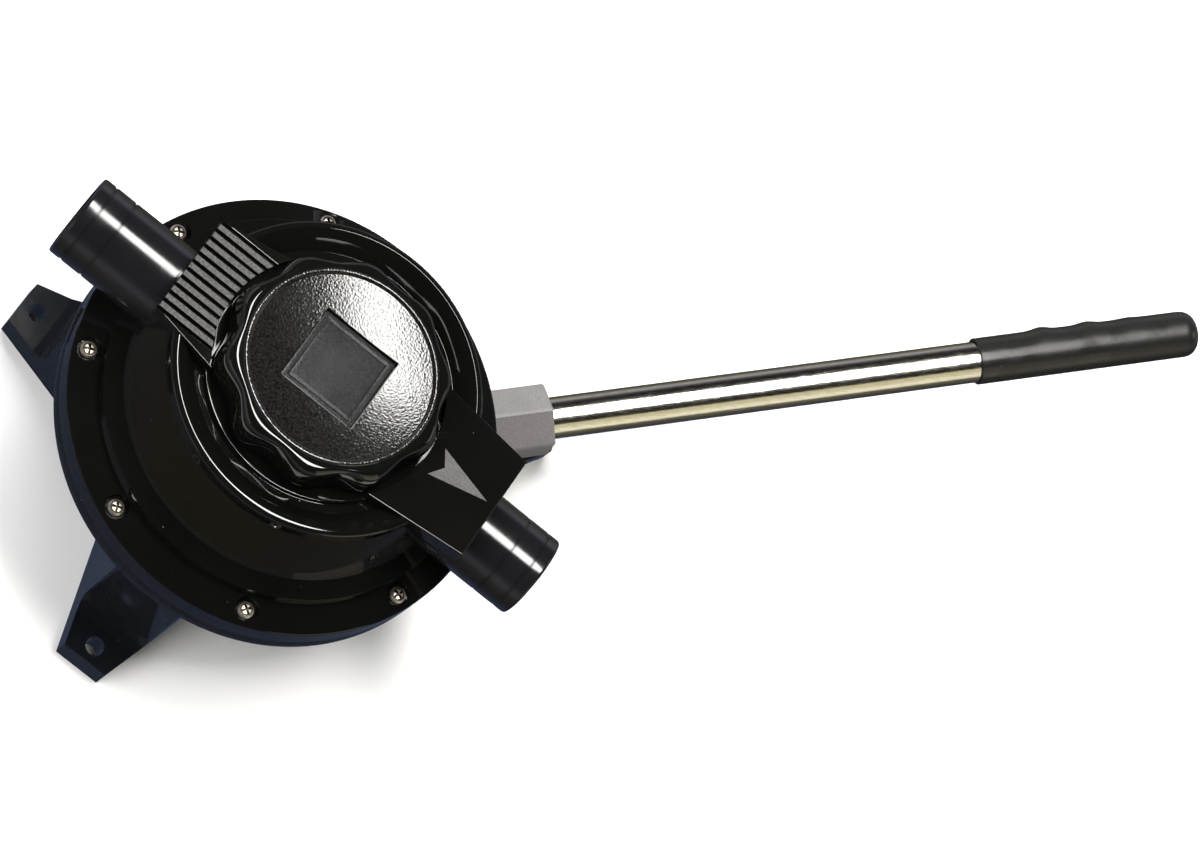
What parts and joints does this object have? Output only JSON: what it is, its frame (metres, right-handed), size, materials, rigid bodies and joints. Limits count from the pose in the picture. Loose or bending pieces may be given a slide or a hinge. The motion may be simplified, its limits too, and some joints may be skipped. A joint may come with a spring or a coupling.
{
  "type": "manual bilge pump",
  "caption": "Hand-worked diaphragm bilge pump with a long lever, hose tails in line, a clamped inspection cover with a scalloped knob, and a three-footed frame.",
  "frame": {"origin": "middle of the mounting plane under the feet, on the pump's axis", "axes": "+Z along the pump's axis from the mounting plane to the clamp knob, +X along the lever's side, the hose tails at 45 degrees between X and Y with the outlet towards +X and -Y"},
  "size_m": [0.5407, 0.1968, 0.1553],
  "materials": {
    "gloss_black_moulding": "gloss",
    "satin_black_moulding": "satin",
    "grey_moulding": "fine grain",
    "stainless_tube": "polished",
    "stainless_fasteners": "bright",
    "brass_insert": "turned",
    "black_rubber": "matte",
    "natural_nylon": "matte",
    "black_vinyl": "satin"
  },
  "bodies": {
    "frame": {"base_frame": "satin_black_moulding", "pump_body": "gloss_black_moulding", "inspection_cover": "gloss_black_moulding", "cover_seal": "black_rubber", "clamp_stud": "stainless_fasteners", "knob_washer": "stainless_fasteners", "diaphragm": "black_rubber", "cover_screw_1": "stainless_fasteners", "cover_screw_2": "stainless_fasteners", "cover_screw_3": "stainless_fasteners", "cover_screw_4": "stainless_fasteners", "cover_screw_5": "stainless_fasteners", "cover_screw_6": "stainless_fasteners", "cover_screw_7": "stainless_fasteners", "cover_screw_8": "stainless_fasteners", "inlet_retainer": "natural_nylon", "outlet_retainer": "natural_nylon", "pivot_pin": "stainless_fasteners", "pivot_clip": "stainless_fasteners", "pivot_bush_left": "natural_nylon", "pivot_bush_right": "natural_nylon"},
    "lever": {"lever_rocker": "grey_moulding", "lever_tube": "stainless_tube", "lever_grip": "black_vinyl"},
    "drive": {"diaphragm_plate_upper": "natural_nylon", "diaphragm_plate_lower": "natural_nylon", "plate_stud": "stainless_fasteners", "plate_washer": "stainless_fasteners", "plate_nut": "stainless_fasteners", "drive_pin": "stainless_fasteners", "drive_pin_clip_left": "stainless_fasteners", "drive_pin_clip_right": "stainless_fasteners"},
    "knob": {"clamp_knob": "gloss_black_moulding", "knob_insert": "brass_insert"},
    "inlet_valve": {"inlet_flap": "black_rubber"},
    "outlet_valve": {"outlet_flap": "black_rubber"}
  },
  "joints": [
    {"name": "lever_pivot", "type": "hinge", "parent": "frame", "child": "lever", "pos_m": [0.068, 0, 0.0317], "axis": [0, -1, 0], "range_deg": [-13, 13]},
    {"name": "diaphragm_stroke", "type": "slide", "parent": "frame", "child": "drive", "axis": [0, 0, 1], "range_m": [-0.016, 0.016], "deforming": ["diaphragm"]},
    {"name": "knob_turn", "type": "hinge", "parent": "frame", "child": "knob", "pos_m": [0, 0, 0.138], "axis": [0, 0, 1], "continuous": true},
    {"name": "inlet_valve_swing", "type": "hinge", "parent": "frame", "child": "inlet_valve", "pos_m": [-0.00955, 0.00955, 0.08975], "axis": [-0.7071, -0.7071, 0], "range_deg": [0, 15], "stiffness_Nm_per_rad": 0.004, "springref_deg": -20.05},
    {"name": "outlet_valve_swing", "type": "hinge", "parent": "frame", "child": "outlet_valve", "pos_m": [0.00955, -0.00955, 0.09685], "axis": [-0.7071, -0.7071, 0], "range_deg": [0, 20], "stiffness_Nm_per_rad": 0.003, "springref_deg": -5.73}
  ],
  "couplings": [
    {"joint": "diaphragm_stroke", "follows": "lever_pivot", "m_per_rad": -0.0694}
  ]
}
